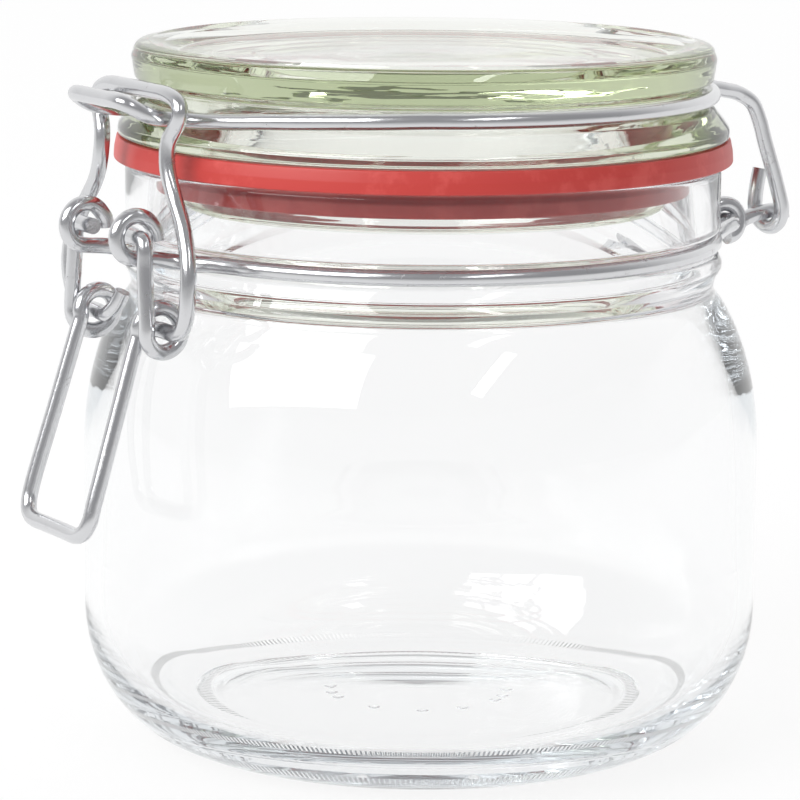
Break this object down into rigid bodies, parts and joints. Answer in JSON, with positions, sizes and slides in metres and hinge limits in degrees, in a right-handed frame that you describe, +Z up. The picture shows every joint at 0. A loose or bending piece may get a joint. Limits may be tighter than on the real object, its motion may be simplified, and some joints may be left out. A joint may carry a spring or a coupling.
{
  "type": "clip top jar",
  "caption": "Empty clear glass jar with a rounded body, hinged glass lid, red rubber ring and bent-wire lever clip.",
  "frame": {"origin": "centre of the base, on the table; the jar's axis is Z", "axes": "+Z up along the jar's axis, -X towards the latch, +X towards the lid's hinge, the wires are symmetric about Y"},
  "size_m": [0.1219, 0.1, 0.1033],
  "materials": {
    "glass": "clear pressed glass with a faint green tint",
    "lid_glass": "thick clear pressed glass with a faint green tint",
    "rubber": "smooth red rubber",
    "wire": "bright drawn steel wire"
  },
  "bodies": {
    "jar": {"jar_body": "glass", "neck_ring": "wire", "hinge_arm_left": "wire", "hinge_arm_right": "wire"},
    "lid": {"lid": "lid_glass", "lid_ring": "wire", "gasket": "rubber"},
    "lever": {"lever": "wire"},
    "link": {"link": "wire"}
  },
  "joints": [
    {"name": "lid_hinge", "type": "hinge", "parent": "jar", "child": "lid", "pos_m": [0.0566, 0, 0.07325], "axis": [0, 1, 0], "range_deg": [0, 105]},
    {"name": "lever_pivot", "type": "hinge", "parent": "jar", "child": "lever", "pos_m": [-0.0517, 0, 0.0785], "axis": [0, 1, 0], "range_deg": [0, 110]},
    {"name": "link_pivot", "type": "hinge", "parent": "lever", "child": "link", "pos_m": [-0.0489, 0, 0.0656], "axis": [0, 1, 0], "range_deg": [-84, 0]}
  ],
  "couplings": [
    {"joint": "link_pivot", "follows": "lever_pivot", "ratio": -0.76}
  ]
}
